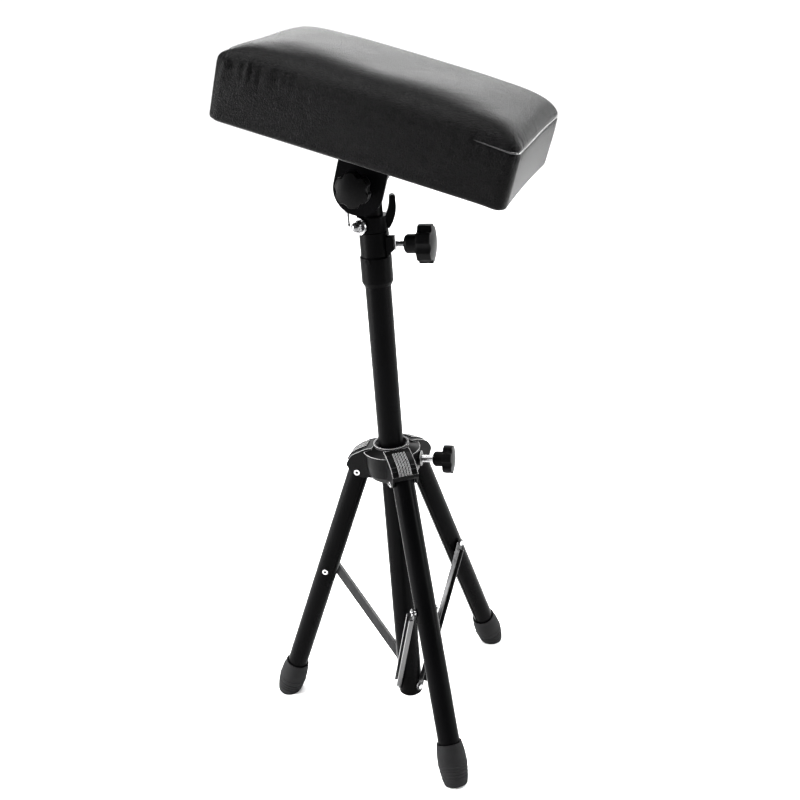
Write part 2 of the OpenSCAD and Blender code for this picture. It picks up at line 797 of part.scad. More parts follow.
// Flanged cap nut on the collar's stud
module clamp_nut() {
    color("silver") rotate([0, 0, nut_az]) translate([0, 0, nut_z]) difference() {
        union() {
            bar_x(nut_seat, nut_seat + nut_flange_t, nut_flange_r);
            translate([nut_seat + nut_flange_t, 0, 0]) rotate([0, 90, 0])
                cylinder(h = nut_hex_t, r = nut_hex_r, $fn = 6);
            intersection() {
                translate([nut_seat + nut_flange_t + nut_hex_t, 0, 0]) sphere(nut_dome_r);
                bar_x(nut_seat, nut_seat + nut_flange_t + nut_hex_t + nut_dome_r, nut_dome_r + over);
            }
        }
        bar_x(0, nut_seat + nut_flange_t + nut_hex_t, stud_r + seat_fit);
    }
}

// Clamp screw of the lug, with a cross hole for its bar
module clamp_screw() {
    color("silver") translate([0, 0, bar_z]) difference() {
        union() {
            bar_x(-bar_x, -inner_r - screw_stop, bar_screw_r);
            bar_x(-bar_x - bar_collar_r, -bar_x + bar_collar_r, bar_collar_r);
        }
        translate([-bar_x, 0, -bar_half]) cylinder(h = 2 * bar_half, r = bar_r + seat_fit);
    }
}

// Sliding bar of the clamp screw with ball ends
module clamp_bar() {
    color("#2a2a2a") translate([-bar_x, 0, bar_z]) {
        translate([0, 0, -bar_half]) cylinder(h = 2 * bar_half, r = bar_r);
        for (side = [-1, 1]) translate([0, 0, side * bar_half]) sphere(bar_ball_r);
    }
}

// Outline of a cheek: a round end below the tilt axis and straight sides up to the plate
module cheek_outline(r, drop) {
    translate([0, -drop]) circle(r);
    translate([-r, -drop]) square([2 * r, plate_top + drop]);
}

// Folded steel bracket: a plate under the pad, a wide front cheek and a narrow back one
module bracket() {
    color("#19191b") pad_frame() difference() {
        union() {
            translate([0, -cheek_in, 0]) rotate([90, 0, 0])
                linear_extrude(bracket_t) cheek_outline(cheek_r, cheek_drop);
            translate([0, cheek_in + bracket_t, 0]) rotate([90, 0, 0])
                linear_extrude(bracket_t) cheek_outline(back_cheek_r, 0);
            translate([-cheek_r, -cheek_in - over, plate_low])
                cube([2 * cheek_r, cheek_gap + 2 * over, bracket_t]);
        }
        bar_y(-cheek_gap, cheek_gap, bolt_r + seat_fit);
        for (x = [-1, 1], y = [-1, 1]) translate([x * screw_u, y * screw_v, plate_low - over])
            cylinder(h = bracket_t + 2 * over, r = pad_screw_r + run_fit);
    }
}

// Plywood base board inside the pad, counterbored for its tee nuts
module base_board() {
    color("#b08a5a") pad_frame() translate([0, 0, pad_rise]) difference() {
        translate([pad_shift, 0, 0])
            rounded_plate(pad_l - 2 * board_rim, pad_w - 2 * board_rim, board_t, board_corner);
        for (x = [-1, 1], y = [-1, 1]) translate([x * screw_u, y * screw_v, 0]) {
            translate([0, 0, -over]) cylinder(h = board_t + 2 * over, r = tee_r + seat_fit);
            translate([0, 0, board_t - tee_flange_t - seat_fit])
                cylinder(h = tee_flange_t + over, r = tee_flange_r + seat_fit);
        }
    }
}

// Woven dust cover under the board
module dust_cover() {
    color("#1b1b1c") pad_frame() translate([0, 0, plate_top]) difference() {
        translate([pad_shift, 0, 0])
            rounded_plate(pad_l - 2 * cover_inset, pad_w - 2 * cover_inset, cover_t, board_corner);
        for (x = [-1, 1], y = [-1, 1]) translate([x * screw_u, y * screw_v, -over])
            cylinder(h = cover_t + 2 * over, r = pad_screw_r + run_fit);
    }
}

// Crown of the cushion: nearly level along the pad and arched across it, from the seam's line up
function crown_fall(place, half, power) = 1 - pow(min(1, abs(place) / (half - crown_inset)), power);
function crown_at(x, y) = pad_crown * crown_fall(x, pad_l / 2, crown_end_power)
    * crown_fall(y, pad_w / 2, crown_side_power);
// A corner arc of the outline, and an edge drawn in a little at its middle
function corner(middle, r, turn) =
    [for (i = [0 : arc_steps]) let(t = turn + 90 * i / arc_steps) middle + r * [cos(t), sin(t)]];
function edge(from, to, inward, steps) =
    [for (i = [1 : steps - 1]) from + (to - from) * i / steps + inward * side_draw * sin(180 * i / steps)];
function outline(inset) =
    let(a = pad_l / 2 - inset, b = pad_w / 2 - inset, r = pad_corner - inset / 2, m = a - r, n = b - r)
    concat(corner([m, n], r, 0), edge([m, b], [-m, b], [0, -1], long_steps),
        corner([-m, n], r, 90), edge([-a, n], [-a, -n], [1, 0], short_steps),
        corner([-m, -n], r, 180), edge([-m, -b], [m, -b], [0, 1], long_steps),
        corner([m, -n], r, 270), edge([a, -n], [a, n], [-1, 0], short_steps));
function ring_at(inset, share, height) = [for (p = outline(inset)) [p[0] * share, p[1] * share, height]];
function crowned(ring) = [for (p = ring) [p[0], p[1], pad_t + crown_at(p[0], p[1])]];

// Padded top: foam under a sewn cover, with its crown
module pad_cushion() {
    rings = concat([for (s = side_shares) ring_at(s[1] * pad_t, 1, s[0] * pad_t)],
        [for (s = crown_shares) crowned(ring_at(crown_inset, s, 0))]);
    count = len(rings);
    ring_points = len(rings[0]);
    points = concat([for (ring = rings) for (p = ring) p], [[0, 0, 0], [0, 0, pad_t + pad_crown]]);
    low = count * ring_points;
    walls = [for (k = [0 : count - 2], i = [0 : ring_points - 1])
        let(a = k * ring_points + i, b = k * ring_points + (i + 1) % ring_points)
        each [[a, a + ring_points, b], [b, a + ring_points, b + ring_points]]];
    floor_faces = [for (i = [0 : ring_points - 1]) [low, i, (i + 1) % ring_points]];
    last = (count - 1) * ring_points;
    cap_faces = [for (i = [0 : ring_points - 1]) [low + 1, last + (i + 1) % ring_points, last + i]];
    color("#1a1a1b") pad_frame() translate([pad_shift, 0, pad_rise]) difference() {
        polyhedron(points = points, faces = concat(walls, floor_faces, cap_faces));
        translate([0, 0, -over])
            rounded_plate(pad_l - 2 * (board_rim - board_fit), pad_w - 2 * (board_rim - board_fit),
                board_t + board_fit + over, board_corner);
    }
}

// Screws that hold the bracket's plate under the board
module pad_screws() {
    color("silver") pad_frame() for (x = [-1, 1], y = [-1, 1]) translate([x * screw_u, y * screw_v, 0]) {
        translate([0, 0, plate_low - pad_head_t])
            cylinder(h = pad_head_t, r1 = pad_head_r - pad_head_t / 2, r2 = pad_head_r);
        translate([0, 0, plate_low - over])
            cylinder(h = bracket_t + cover_t + pad_screw_len + over, r = pad_screw_r);
    }
}

// Tee nuts set in the board's top
module pad_tee_nuts() {
    color("silver") pad_frame() for (x = [-1, 1], y = [-1, 1])
        translate([x * screw_u, y * screw_v, pad_rise]) difference() {
            union() {
                cylinder(h = board_t - seat_fit, r = tee_r);
                translate([0, 0, board_t - tee_flange_t]) cylinder(h = tee_flange_t, r = tee_flange_r);
            }
            translate([0, 0, -over]) cylinder(h = board_t + 2 * over, r = pad_screw_r + seat_fit);
        }
}

// Tilt bolt through the cheeks and the cross tube, with its head on the back cheek
module tilt_bolt() {
    color("silver") pad_frame() {
        bar_y(-knob_seat - insert_len + seat_fit, cheek_in + bracket_t, bolt_r);
        translate([0, cheek_in + bracket_t + bolt_head_t, 0]) rotate([90, 0, 0])
            cylinder(h = bolt_head_t, r = bolt_head_r, $fn = 6);
    }
}

module bolt_washer() {
    color("silver") pad_frame() difference() {
        bar_y(-cheek_in - bracket_t - washer_t, -cheek_in - bracket_t, washer_out_r);
        bar_y(-cheek_gap, 0, bolt_r + seat_fit);
    }
}

module tilt_knob_frame() {
    pad_frame() translate([0, -knob_seat, 0]) rotate([90, 0, 0]) children();
}

module tilt_knob() {
    color("#121213") tilt_knob_frame()
        lobed_knob(tilt_knob_d, tilt_stem_r, tilt_stem, tilt_head, tilt_dome, insert_r + seat_fit,
            insert_len + seat_fit);
}

// Threaded insert of the tilt knob
module tilt_knob_insert() {
    color("goldenrod") tilt_knob_frame() difference() {
        cylinder(h = insert_len, r = insert_r);
        translate([0, 0, -over]) cylinder(h = insert_len + 2 * over, r = bolt_r + run_fit);
    }
}

main_tube();
base_collar();
base_rivets();
clutch_sleeve();
sleeve_nut();
sleeve_rivet();
hub_body();
leg_pins();
hub_knob();
hub_knob_screw();
leg_tube(front);  // leg_tube_front
leg_tube(right);  // leg_tube_right
leg_tube(left);  // leg_tube_left
leg_plug(front);  // leg_plug_front
leg_plug(right);  // leg_plug_right
leg_plug(left);  // leg_plug_left
leg_foot(front);  // leg_foot_front
leg_foot(right);  // leg_foot_right
leg_foot(left);  // leg_foot_left
leg_rivet(front);  // leg_rivet_front
leg_rivet(right);  // leg_rivet_right
leg_rivet(left);  // leg_rivet_left
brace(front);  // brace_front
brace(right);  // brace_right
brace(left);  // brace_left
brace_rivet(front);  // brace_rivet_front
brace_rivet(right);  // brace_rivet_right
brace_rivet(left);  // brace_rivet_left
sleeve_knob();
sleeve_knob_screw();
guide_bush();
inner_tube();
cross_tube();
head_washers();
hook_collar();
clamp_stud();
clamp_nut();
clamp_screw();
clamp_bar();
bracket();
base_board();
dust_cover();
pad_cushion();
pad_screws();
pad_tee_nuts();
tilt_bolt();
bolt_washer();
tilt_knob();
tilt_knob_insert();
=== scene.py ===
"""Looks of an arm rest stand, piece by piece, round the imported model.

Metres, Z up. The origin is the floor under the post, and the photograph looks along +Y.
"""
import json
import math

import bmesh
import bpy
import numpy as np
from mathutils import Matrix, Vector


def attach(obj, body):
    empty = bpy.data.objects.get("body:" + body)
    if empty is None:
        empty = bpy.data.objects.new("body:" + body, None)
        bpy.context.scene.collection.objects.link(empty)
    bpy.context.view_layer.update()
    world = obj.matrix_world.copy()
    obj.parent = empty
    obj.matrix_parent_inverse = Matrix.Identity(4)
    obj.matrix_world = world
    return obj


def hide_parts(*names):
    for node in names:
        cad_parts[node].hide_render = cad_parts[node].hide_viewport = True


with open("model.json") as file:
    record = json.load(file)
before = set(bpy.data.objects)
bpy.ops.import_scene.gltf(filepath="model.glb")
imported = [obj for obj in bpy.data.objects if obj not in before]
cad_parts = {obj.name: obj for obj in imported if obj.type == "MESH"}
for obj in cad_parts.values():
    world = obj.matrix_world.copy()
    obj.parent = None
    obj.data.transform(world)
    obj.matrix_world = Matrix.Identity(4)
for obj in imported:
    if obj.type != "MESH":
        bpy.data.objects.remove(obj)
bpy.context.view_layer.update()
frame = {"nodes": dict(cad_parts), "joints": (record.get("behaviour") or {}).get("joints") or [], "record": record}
nodes = frame["nodes"]
joints = {joint["name"]: joint for joint in frame["joints"]}
mounts = {mount["name"]: mount for mount in frame["record"]["mounts"]}


# Camera
# The photograph was taken from 1.15 m in front of the post and 0.88 m up, looking down on the
# stand, with the camera held a few degrees off level.
camera_back, camera_high = 1.1475, 0.8848
camera_lens, sensor = 50.97, 36.0
pitch, roll, turn = (math.radians(angle) for angle in (22.87, -4.4, 0.68))
ahead = Vector((math.sin(turn) * math.cos(pitch), math.cos(turn) * math.cos(pitch), -math.sin(pitch)))
level = Vector((math.cos(turn), -math.sin(turn), 0))
upright = level.cross(ahead)
camera_right = math.cos(roll) * level + math.sin(roll) * upright
camera_up = math.cos(roll) * upright - math.sin(roll) * level
camera = bpy.data.objects.new("camera", bpy.data.cameras.new("camera"))
camera.data.lens = camera_lens
camera.data.sensor_width = sensor
camera.matrix_world = Matrix.Translation((0, -camera_back, camera_high)) @ Matrix(
    (camera_right, camera_up, -ahead)).transposed().to_4x4()
bpy.context.scene.collection.objects.link(camera)
bpy.context.scene.camera = camera


# Studio
# A pale paper floor that runs past the view under a broad ceiling light, a dim white room, and soft
# panels: one in front, one above, two behind that put the sheen on the pad, one to each side.
class Shade:
    """A socket of a material. The operators + - and * add Math nodes."""

    def __init__(self, tree, socket=None):
        self.tree, self.socket = tree, socket

    def node(self, kind, settings, sockets, out=0):
        """A new node: its settings are made first, then its sockets take values or links."""
        made = self.tree.nodes.new(kind)
        for name, value in settings.items():
            if name == "stops":
                elements = made.color_ramp.elements
                while len(elements) < len(value):
                    elements.new(1.0)
                for element, (position, grey) in zip(elements, value):
                    element.position, element.color = position, (grey, grey, grey, 1.0)
            else:
                setattr(made, name, value)
        for name, value in sockets.items():
            if isinstance(value, Shade):
                self.tree.links.new(value.socket, made.inputs[name])
            else:
                made.inputs[name].default_value = value
        return Shade(self.tree, None if out is None else made.outputs[out])

    def math(self, operation, first, second):
        return self.node("ShaderNodeMath", {"operation": operation}, {0: first, 1: second})

    def __add__(self, other):
        return self.math("ADD", self, other)

    def __radd__(self, other):
        return self.math("ADD", other, self)

    def __sub__(self, other):
        return self.math("SUBTRACT", self, other)

    def __rsub__(self, other):
        return self.math("SUBTRACT", other, self)

    def __mul__(self, other):
        return self.math("MULTIPLY", self, other)

    def __rmul__(self, other):
        return self.math("MULTIPLY", other, self)


def material(name, surface):
    """A material whose Principled sockets take what surface(root, place) returns."""
    made = bpy.data.materials.new(name)
    made.use_nodes = True
    made.node_tree.nodes.clear()
    root = Shade(made.node_tree)
    place = root.node("ShaderNodeTexCoord", {}, {}, "Object")
    shader = root.node("ShaderNodeBsdfPrincipled", {}, surface(root, place), "BSDF")
    root.node("ShaderNodeOutputMaterial", {}, {"Surface": shader}, None)
    return made


def noise(root, place, scale, detail=2.0):
    """Soft noise from 0 to 1, with the given number of waves in a metre."""
    return root.node("ShaderNodeTexNoise", {}, {"Vector": place, "Scale": scale, "Detail": detail}, "Fac")


def blended(root, factor, first, second):
    """A colour between two greys or colours, by a factor from 0 to 1."""
    return root.node("ShaderNodeMix", {"data_type": "RGBA"},
        {0: factor, 6: (*first, 1.0), 7: (*second, 1.0)}, 2)


def bumped(root, height, distance, strength=1.0):
    """A normal bent by a height, which is multiplied by the distance."""
    return root.node("ShaderNodeBump", {}, {"Strength": strength, "Distance": distance,
        "Height": height}, "Normal")


def stretched(root, place, scale):
    """The place drawn out along the axes whose scale is under 1."""
    return root.node("ShaderNodeMapping", {}, {"Vector": place, "Scale": scale})


def paper(root, place):
    mottle = noise(root, place, 3.0)
    return {"Base Color": blended(root, mottle, (0.86, 0.86, 0.86), (0.9, 0.9, 0.9)), "Roughness": 0.9}


floor_half = 30.0
floor_mesh = bpy.data.meshes.new("floor")
floor_mesh.from_pydata([(-floor_half, -floor_half, 0), (floor_half, -floor_half, 0),
    (floor_half, floor_half, 0), (-floor_half, floor_half, 0)], [], [(0, 1, 2, 3)])
floor_mesh.materials.append(material("paper", paper))
floor = bpy.data.objects.new("floor", floor_mesh)
bpy.context.scene.collection.objects.link(floor)

room = bpy.data.worlds.new("room")
room.use_nodes = True
room.node_tree.nodes["Background"].inputs["Color"].default_value = (1, 1, 1, 1)
room.node_tree.nodes["Background"].inputs["Strength"].default_value = 0.2
bpy.context.scene.world = room
bpy.context.scene.view_settings.view_transform = "Standard"

ceiling_light = bpy.data.lights.new("ceiling", "SUN")
ceiling_light.energy, ceiling_light.angle = 3.4, math.radians(60)
ceiling = bpy.data.objects.new("ceiling", ceiling_light)
ceiling.location = (0, 0, 3)
bpy.context.scene.collection.objects.link(ceiling)

aim = Vector((0, 0, 0.45))
for name, at, size, power in [
    ("front_panel", (-0.9, -1.6, 2.3), (1.0, 0.8), 3.0),
    ("top_panel", (0.0, 0.3, 2.3), (1.6, 1.2), 90.0),
    ("back_panel", (0.6, 2.7, 1.4), (2.8, 0.8), 42.0),
    ("end_panel", (2.4, 1.5, 1.0), (0.9, 0.9), 68.0),
    ("left_panel", (-2.2, -0.1, 0.8), (1.0, 1.5), 190.0),
    ("right_panel", (2.1, -0.7, 0.9), (0.35, 1.6), 60.0),
]:
    light = bpy.data.lights.new(name, "AREA")
    light.shape = "RECTANGLE"
    light.size, light.size_y = size
    light.energy = power
    lamp = bpy.data.objects.new(name, light)
    lamp.location = at
    lamp.rotation_euler = (aim - Vector(at)).to_track_quat("-Z", "Y").to_euler()
    bpy.context.scene.collection.objects.link(lamp)


# Post, legs and bracket
# Drawn steel tube and folded sheet under a semi-gloss black coat, which has a faint orange peel and
# is a little duller in soft patches.
def black_coat(root, place):
    peel = noise(root, place, 620.0)
    rubbed = noise(root, place, 14.0, 4.0)
    return {
        "Base Color": blended(root, rubbed, (0.0005, 0.0005, 0.0006), (0.0015, 0.0015, 0.0017)),
        "Roughness": 0.2 + 0.16 * rubbed,
        "Specular IOR Level": 0.016,
        "Normal": bumped(root, peel, 0.00006, 0.5),
    }


def dress(finish, *names):
    """Gives CAD nodes a material."""
    for name in names:
        nodes[name].data.materials.clear()
        nodes[name].data.materials.append(finish)


sides = ("front", "right", "left")
coat = material("black_coat", black_coat)
dress(coat, "main_tube", "inner_tube", "cross_tube", "bracket", *[f"leg_tube_{side}" for side in sides])


# Braces
# Rolled steel channels under a thin gloss coat, drawn lighter and half metallic, with faint streaks along them.
def brace_coat(root, place):
    streak = noise(root, stretched(root, place, (1, 1, 0.08)), 420.0)
    return {
        "Base Color": blended(root, streak, (0.009, 0.009, 0.0095), (0.026, 0.026, 0.027)),
        "Roughness": 0.16 + 0.16 * streak,
        "Metallic": 0.5,
        "Specular IOR Level": 0.3,
        "Normal": bumped(root, streak, 0.00004, 0.4),
    }


dress(material("brace_coat", brace_coat), *[f"brace_{side}" for side in sides])


# Mouldings
# Clutch sleeve, base collar, hook collar and leg plugs: black nylon with a fine satin face. The hub
# is glossier, and its up-facing edges and ribs carry a painted highlight, light grey in their colour.
def rounded_edges(root, radius, height, depth):
    """A bumped normal over edges that look rounded by the given radius."""
    edge = root.node("ShaderNodeBevel", {"samples": 6}, {"Radius": radius}, "Normal")
    return root.node("ShaderNodeBump", {}, {"Strength": 0.6, "Distance": depth, "Height": height,
        "Normal": edge}, "Normal")


def painted_edge_highlight(root, radius, depth):
    """Painted highlight mask: 1 along outer edges that face up, 0 on faces, in creases and under the piece.

    A rounded normal leaves the face's own near any edge, and a crease is darker than open air.
    """
    edge_gain, least_rise, rise_gain, least_air, air_gain = 13.0, 0.25, 4.0, 0.72, 5.0
    dot, clamped = {"operation": "DOT_PRODUCT"}, {"operation": "MULTIPLY", "use_clamp": True}
    rounded = root.node("ShaderNodeBevel", {"samples": 8}, {"Radius": radius}, "Normal")
    rise = root.node("ShaderNodeVectorMath", dot, {0: rounded, 1: (0.0, 0.0, 1.0)}, "Value")
    upward = root.node("ShaderNodeMath", clamped, {0: rise - least_rise, 1: rise_gain})
    own = root.node("ShaderNodeNewGeometry", {}, {}, "Normal")
    agree = root.node("ShaderNodeVectorMath", dot, {0: rounded, 1: own}, "Value")
    air = root.node("ShaderNodeAmbientOcclusion", {"samples": 6}, {"Distance": depth}, "AO")
    open_air = root.node("ShaderNodeMath", clamped, {0: air - least_air, 1: air_gain})
    return root.node("ShaderNodeMath", clamped, {0: (1.0 - agree) * edge_gain * upward, 1: open_air})


def satin_nylon(root, place):
    fine = noise(root, place, 1500.0, 3.0)
    cloud = noise(root, place, 30.0, 3.0)
    return {
        "Base Color": blended(root, cloud, (0.0005, 0.0005, 0.0006), (0.0015, 0.0015, 0.0016)),
        "Roughness": 0.26 + 0.14 * cloud,
        "Specular IOR Level": 0.014,
        "Normal": rounded_edges(root, 0.0008, fine, 0.00005),
    }


def hub_nylon(root, place):
    fine = noise(root, place, 1500.0, 3.0)
    cloud = noise(root, place, 40.0, 3.0)
    # The colour goes to light grey where this mask is 1: a painted highlight on the up-facing edges and ribs.
    edge_highlight = painted_edge_highlight(root, 0.0009, 0.003)
    return {
        "Base Color": root.node("ShaderNodeMix", {"data_type": "RGBA"}, {
            0: edge_highlight, 6: blended(root, cloud, (0.0008, 0.0008, 0.0009), (0.0024, 0.0024, 0.0025)),
            7: (0.6, 0.6, 0.6, 1.0)}, 2),
        "Roughness": 0.24 + 0.12 * cloud,
        "Specular IOR Level": 0.045,
        "Normal": rounded_edges(root, 0.0008, fine, 0.00005),
    }


nylon = material("satin_nylon", satin_nylon)
dress(nylon, "clutch_sleeve", "base_collar", "hook_collar", *[f"leg_plug_{side}" for side in sides])
dress(material("hub_nylon", hub_nylon), "hub_body")


# Bright hardware
# Rivets, pins, screws, nuts and washers, zinc or nickel plated, with fine scratches and small dull
# patches. The collar's cross bar is dark steel; its plated stud and cap nut are drawn in the same dark
# steel as a painted dark reflection, and the sleeve's rivet is painted.
def plated(root, place):
    scratch = noise(root, stretched(root, place, (1, 1, 0.15)), 2200.0, 3.0)
    dull = noise(root, place, 180.0, 3.0)
    return {
        "Base Color": blended(root, dull, (0.2, 0.2, 0.204), (0.55, 0.55, 0.56)),
        "Metallic": 1.0,
        "Roughness": 0.1 + 0.16 * dull,
        "Normal": rounded_edges(root, 0.0003, scratch, 0.00003),
    }


def dark_steel_and_shade(root, place):
    dull = noise(root, place, 400.0, 3.0)
    return {"Base Color": blended(root, dull, (0.06, 0.06, 0.061), (0.2, 0.2, 0.204)), "Metallic": 1.0,
        "Roughness": 0.14 + 0.2 * dull}


thread_axis = joints["sleeve_knob_turn"]["axis"]
thread_pitch = 0.001


def threaded(root, place):
    """Plated steel with the ridges of a screw thread: a wave of the place along the screw.

    Its colour is painted light on the crests and dark in the grooves, as painted highlight and shade.
    """
    along_screw = root.node("ShaderNodeVectorMath", {"operation": "DOT_PRODUCT"},
        {0: place, 1: tuple(thread_axis)}, "Value")
    turns = along_screw * (2 * math.pi / thread_pitch)
    ridge = turns.math("SINE", turns, 0.0)
    # Lighter on the crests and darker in the grooves: painted highlight and painted shade of the thread.
    return {"Base Color": blended(root, 0.5 + 0.5 * ridge, (0.16, 0.16, 0.165), (0.7, 0.7, 0.71)),
        "Metallic": 1.0, "Roughness": 0.3 - 0.1 * ridge, "Normal": bumped(root, ridge, 0.0004)}


bright = material("plated_steel", plated)
dress(bright, "base_rivets", "sleeve_nut", "leg_pins", "hub_knob_screw",
    "clamp_screw", "pad_screws", "pad_tee_nuts", "tilt_bolt", "bolt_washer",
    *[f"{kind}_rivet_{side}" for kind in ("leg", "brace") for side in sides])
# Stud and cap nut: a dark base colour as a painted dark reflection; the cross bar is dark steel.
dress(material("dark_steel_and_painted_shade", dark_steel_and_shade), "clamp_bar", "clamp_stud", "clamp_nut")
dress(coat, "sleeve_rivet")
dress(material("threaded_steel", threaded), "sleeve_knob_screw")


# Feet
# Barrel-shaped rubber caps pushed on the legs: a round rim, a moulded ridge halfway down and three
# grip grooves under it, worn flat where they stand on the floor.
def rubber(root, place):
    fine = noise(root, place, 900.0, 4.0)
    dust = noise(root, place, 60.0, 3.0)
    return {
        "Base Color": blended(root, dust, (0.004, 0.004, 0.0042), (0.01, 0.01, 0.0105)),
        "Roughness": 0.62 + 0.2 * dust,
        "Specular IOR Level": 0.07,
        "Normal": bumped(root, fine, 0.00015, 0.8),
    }


def shell(name, grid, finish, body):
    """A piece from a grid of points, rows by columns, whose last column meets its first.

    Four neighbours make a face. Rows that shrink to a point are welded there.
    """
    rows, columns = grid.shape[:2]
    index = np.arange(rows * columns).reshape(rows, columns)
    index = np.concatenate([index, index[:, :1]], axis=1)
    quads = np.stack([index[:-1, :-1], index[:-1, 1:], index[1:, 1:], index[1:, :-1]], axis=-1)
    mesh = bpy.data.meshes.new(name)
    mesh.from_pydata(grid.reshape(-1, 3), [], quads.reshape(-1, 4).tolist())
    work = bmesh.new()
    work.from_mesh(mesh)
    bmesh.ops.remove_doubles(work, verts=work.verts, dist=1e-6)
    bmesh.ops.recalc_face_normals(work, faces=work.faces)
    for face in work.faces:
        face.smooth = True
    work.to_mesh(mesh)
    work.free()
    mesh.set_sharp_from_angle(angle=math.radians(50))
    mesh.materials.append(finish)
    piece = bpy.data.objects.new(name, mesh)
    bpy.context.scene.collection.objects.link(piece)
    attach(piece, body)
    return piece


def eased(corners, steps=5):
    """An outline through corners (x, y, ease): each is rounded by a quadratic curve.

    The curve leaves one side and meets the next at the distance ease from the corner.
    """
    corners = np.array(corners, float)
    outline = [corners[0, :2]]
    for before, corner, after in zip(corners[:-2], corners[1:-1], corners[2:]):
        here, ease = corner[:2], corner[2]
        towards_last, towards_next = before[:2] - here, after[:2] - here
        start = here + towards_last * min(0.49, ease / np.linalg.norm(towards_last))
        end = here + towards_next * min(0.49, ease / np.linalg.norm(towards_next))
        for t in np.linspace(0, 1, steps):
            outline.append((1 - t) ** 2 * start + 2 * t * (1 - t) * here + t * t * end)
    outline.append(corners[-1, :2])
    return np.array(outline)


def axes_along(direction):
    """Two unit vectors square to a direction, which is the third."""
    third = np.array(direction, float) / np.linalg.norm(direction)
    first = np.cross(third, (0, 0, 1.0) if abs(third[2]) < 0.9 else (1.0, 0, 0))
    first /= np.linalg.norm(first)
    return first, np.cross(third, first), third


def turned(outline, start, direction, columns=96):
    """Grid of a turned shape: (radius, distance) points swept round an axis."""
    first, second, third = axes_along(direction)
    angle = np.linspace(0, 2 * np.pi, columns, endpoint=False)
    radius = np.repeat(outline[:, :1], columns, axis=1)
    return (np.array(start, float) + radius[..., None] * (np.cos(angle)[:, None] * first
        + np.sin(angle)[:, None] * second) + outline[:, 1, None, None] * third)


foot_rubber = material("foot_rubber", rubber)
foot_length, foot_bore = 0.0475, 0.0326
leg_radius, foot_swell = 0.01225, 0.00425
groove_depth, groove_half = 0.0007, 0.0011
grooves_at = (0.0295, 0.0335, 0.0375)
for side in sides:
    pin = np.array(joints[f"leg_fold_{side}"]["pos_m"])
    sole = np.array(mounts[f"sole_{side}"]["pos_m"])
    down = (sole - pin) / np.linalg.norm(sole - pin)
    skin = leg_radius + foot_swell
    profile = eased([
        (0, foot_bore, 0), (leg_radius + 0.00005, foot_bore, 0), (leg_radius + 0.00005, 0.003, 0.0006),
        (leg_radius + 0.0009, 0.0002, 0.0004), (leg_radius + 0.0019, 0.0, 0.0006),
        (leg_radius + 0.0022, 0.0022, 0.001), (skin - 0.0003, 0.0125, 0.006), (skin, 0.0228, 0.002),
        (skin, 0.0236, 0.0003), (skin + 0.0004, 0.0240, 0.0003), (skin + 0.0004, 0.0247, 0.0003),
        (skin - 0.0002, 0.0252, 0.0003), (skin - 0.0003, 0.031, 0.003),
        (leg_radius + 0.6 * foot_swell, 0.0404, 0.004), (leg_radius + 0.1 * foot_swell, 0.0485, 0.002),
        (0.0, 0.0525, 0.001)], steps=6)
    profile = np.stack([np.interp(np.linspace(0, len(profile) - 1, 6 * len(profile)),
        np.arange(len(profile)), profile[:, k]) for k in (0, 1)], axis=1)
    outer = profile[:, 0] > leg_radius
    for middle in grooves_at:
        dip = np.exp(-((profile[:, 1] - middle) / groove_half) ** 4)
        profile[:, 0] -= groove_depth * dip * outer * (np.arange(len(profile)) > len(profile) // 3)
    grid = turned(profile, sole - down * foot_length, down)
    grid[..., 2] = np.maximum(grid[..., 2], 0.0)
    foot = shell(f"foot_{side}", grid, foot_rubber, f"leg_{side}")
    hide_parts(f"leg_foot_{side}")


# Knobs
# Three moulded star knobs: a round stem with a bevelled foot, six lobes with eased edges and a low
# dome, in black plastic that keeps the fine grain of the mould.
def knob_plastic(root, place):
    fine = noise(root, place, 1100.0, 4.0)
    cloud = noise(root, place, 70.0, 3.0)
    return {
        "Base Color": blended(root, cloud, (0.0008, 0.0008, 0.0009), (0.0024, 0.0024, 0.0025)),
        "Roughness": 0.3 + 0.14 * cloud,
        "Specular IOR Level": 0.03,
        "Normal": bumped(root, fine, 0.00008, 0.7),
    }


lobes, notch_out, notch_radius = 6, 1.17, 0.3


def lobed(angle):
    """Radius of a star outline of size 1: a circle bitten by notches, with the corners softened.

    A notch is a circle of radius 0.3 whose middle is 1.17 out, and the two radii meet by a soft
    minimum.
    """
    apart = np.pi / lobes
    local = (angle + apart) % (2 * apart) - apart
    root_of = np.maximum(notch_radius ** 2 - (notch_out * np.sin(local)) ** 2, 0)
    bite = np.where(root_of > 0, notch_out * np.cos(local) - np.sqrt(root_of), 2.0)
    soft = 26.0
    return -np.log(np.exp(-soft * bite) + np.exp(-soft)) / soft


